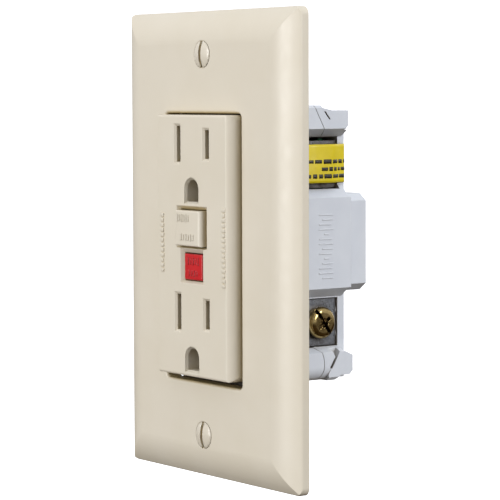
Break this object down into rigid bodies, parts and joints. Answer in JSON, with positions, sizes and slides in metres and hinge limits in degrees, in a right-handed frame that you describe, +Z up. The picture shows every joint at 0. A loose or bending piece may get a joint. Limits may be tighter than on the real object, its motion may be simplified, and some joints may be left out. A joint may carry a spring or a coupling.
{
  "type": "gfci outlet",
  "caption": "Ground-fault duplex receptacle with reset and test buttons, wall plate, steel strap and side screw terminals on its rear housing.",
  "frame": {"origin": "on the wall plane, midway between the two box screws", "axes": "+Y into the wall along the box screws, +Z up, +X to the user's right"},
  "size_m": [0.0746, 0.042, 0.119],
  "materials": {
    "ivory_plastic": "moulded thermoplastic, satin, light ivory",
    "ivory_paint": "steel screw painted to match the plate",
    "red_plastic": "moulded red plastic",
    "white_plastic": "moulded polycarbonate, cool white",
    "zinc_steel": "zinc plated steel, lightly mottled",
    "spring_steel": "drawn spring wire",
    "brass": "bright stamped or turned brass",
    "nickel": "nickel or silver plated",
    "green_screw": "green dyed steel",
    "yellow_tape": "yellow vinyl film",
    "fibre": "pressed fibre",
    "black_plastic": "moulded black plastic",
    "copper_winding": "enamelled copper wire",
    "soft_iron": "turned soft iron",
    "board": "glass-epoxy board with solder mask",
    "component_body": "dipped or sleeved component"
  },
  "bodies": {
    "root": {"wall_plate": "ivory_plastic", "front_cover": "ivory_plastic", "plate_screws": "ivory_paint", "mid_carrier": "white_plastic", "rear_housing": "white_plastic", "mounting_strap": "zinc_steel", "mounting_screws": "zinc_steel", "case_screws": "zinc_steel", "reset_spring": "spring_steel", "test_spring": "spring_steel", "carrier_springs": "spring_steel", "plunger_spring": "spring_steel", "test_blade": "spring_steel", "hot_line_bar": "brass", "hot_load_bar": "brass", "neutral_line_bar": "brass", "neutral_load_bar": "brass", "ground_contacts": "brass", "ground_rivets": "brass", "fixed_contacts": "nickel", "load_terminal_tape": "yellow_tape", "screw_retainers": "fibre", "control_chip": "black_plastic", "scr": "black_plastic", "diodes": "black_plastic", "transformer_cup": "black_plastic", "solenoid_bobbin": "black_plastic", "solenoid_coil": "copper_winding", "sense_transformer": "copper_winding", "neutral_transformer": "copper_winding", "sense_conductors": "copper_winding", "circuit_board": "board", "film_capacitor": "component_body", "electrolytic_capacitor": "component_body", "surge_disc": "component_body", "resistors": "component_body"},
    "reset_button": {"reset_button": "ivory_plastic", "reset_pin": "zinc_steel"},
    "test_button": {"test_button": "red_plastic"},
    "contact_carrier": {"contact_carrier": "black_plastic", "bridge_contacts": "brass"},
    "latch_slide": {"latch_slide": "zinc_steel"},
    "solenoid_plunger": {"solenoid_plunger": "soft_iron"},
    "hot_line_clamp": {"hot_line_clamp": "zinc_steel"},
    "hot_line_screw": {"hot_line_screw": "brass"},
    "hot_load_clamp": {"hot_load_clamp": "zinc_steel"},
    "hot_load_screw": {"hot_load_screw": "brass"},
    "neutral_line_clamp": {"neutral_line_clamp": "zinc_steel"},
    "neutral_line_screw": {"neutral_line_screw": "nickel"},
    "neutral_load_clamp": {"neutral_load_clamp": "zinc_steel"},
    "neutral_load_screw": {"neutral_load_screw": "nickel"},
    "ground_clamp": {"ground_clamp": "zinc_steel"},
    "ground_screw": {"ground_screw": "green_screw"}
  },
  "joints": [
    {"name": "reset_button_push", "type": "slide", "parent": "root", "child": "reset_button", "axis": [0, 1, 0], "range_m": [0, 0.0024], "stiffness_N_per_m": 900, "springref_m": -0.002, "deforming": ["reset_spring"]},
    {"name": "test_button_push", "type": "slide", "parent": "root", "child": "test_button", "axis": [0, 1, 0], "range_m": [0, 0.0015], "stiffness_N_per_m": 900, "springref_m": -0.0015, "deforming": ["test_spring"]},
    {"name": "contact_carrier_lift", "type": "slide", "parent": "root", "child": "contact_carrier", "axis": [0, -1, 0], "range_m": [0, 0.0015], "stiffness_N_per_m": 600, "springref_m": -0.001, "deforming": ["carrier_springs"]},
    {"name": "solenoid_plunger_stroke", "type": "slide", "parent": "root", "child": "solenoid_plunger", "axis": [0, 0, -1], "range_m": [0, 0.002], "stiffness_N_per_m": 300, "springref_m": -0.002, "deforming": ["plunger_spring"]},
    {"name": "latch_slide_release", "type": "slide", "parent": "contact_carrier", "child": "latch_slide", "axis": [0, 0, -1], "range_m": [0, 0.002]},
    {"name": "hot_line_clamp_slide", "type": "slide", "parent": "root", "child": "hot_line_clamp", "axis": [1, 0, 0], "range_m": [0, 0.003]},
    {"name": "hot_line_screw_turn", "type": "hinge", "parent": "hot_line_clamp", "child": "hot_line_screw", "pos_m": [0, 0.0177, -0.0195], "axis": [1, 0, 0], "range_deg": [0, 1361]},
    {"name": "hot_load_clamp_slide", "type": "slide", "parent": "root", "child": "hot_load_clamp", "axis": [1, 0, 0], "range_m": [0, 0.003], "deforming": ["load_terminal_tape"]},
    {"name": "hot_load_screw_turn", "type": "hinge", "parent": "hot_load_clamp", "child": "hot_load_screw", "pos_m": [0, 0.0177, 0.0206], "axis": [1, 0, 0], "range_deg": [0, 1361]},
    {"name": "neutral_line_clamp_slide", "type": "slide", "parent": "root", "child": "neutral_line_clamp", "axis": [-1, 0, 0], "range_m": [0, 0.003]},
    {"name": "neutral_line_screw_turn", "type": "hinge", "parent": "neutral_line_clamp", "child": "neutral_line_screw", "pos_m": [0, 0.0177, -0.0195], "axis": [-1, 0, 0], "range_deg": [0, 1361]},
    {"name": "neutral_load_clamp_slide", "type": "slide", "parent": "root", "child": "neutral_load_clamp", "axis": [-1, 0, 0], "range_m": [0, 0.003], "deforming": ["load_terminal_tape"]},
    {"name": "neutral_load_screw_turn", "type": "hinge", "parent": "neutral_load_clamp", "child": "neutral_load_screw", "pos_m": [0, 0.0177, 0.0206], "axis": [-1, 0, 0], "range_deg": [0, 1361]},
    {"name": "ground_clamp_slide", "type": "slide", "parent": "root", "child": "ground_clamp", "axis": [-1, 0, 0], "range_m": [0, 0.003]},
    {"name": "ground_screw_turn", "type": "hinge", "parent": "ground_clamp", "child": "ground_screw", "pos_m": [0, 0.0066, -0.0396], "axis": [-1, 0, 0], "range_deg": [0, 1361]}
  ],
  "couplings": [
    {"joint": "latch_slide_release", "follows": "solenoid_plunger_stroke", "ratio": 1},
    {"joint": "hot_line_screw_turn", "follows": "hot_line_clamp_slide", "rad_per_m": 7915.8},
    {"joint": "hot_load_screw_turn", "follows": "hot_load_clamp_slide", "rad_per_m": 7915.8},
    {"joint": "neutral_line_screw_turn", "follows": "neutral_line_clamp_slide", "rad_per_m": 7915.8},
    {"joint": "neutral_load_screw_turn", "follows": "neutral_load_clamp_slide", "rad_per_m": 7915.8},
    {"joint": "ground_screw_turn", "follows": "ground_clamp_slide", "rad_per_m": 7915.8}
  ]
}
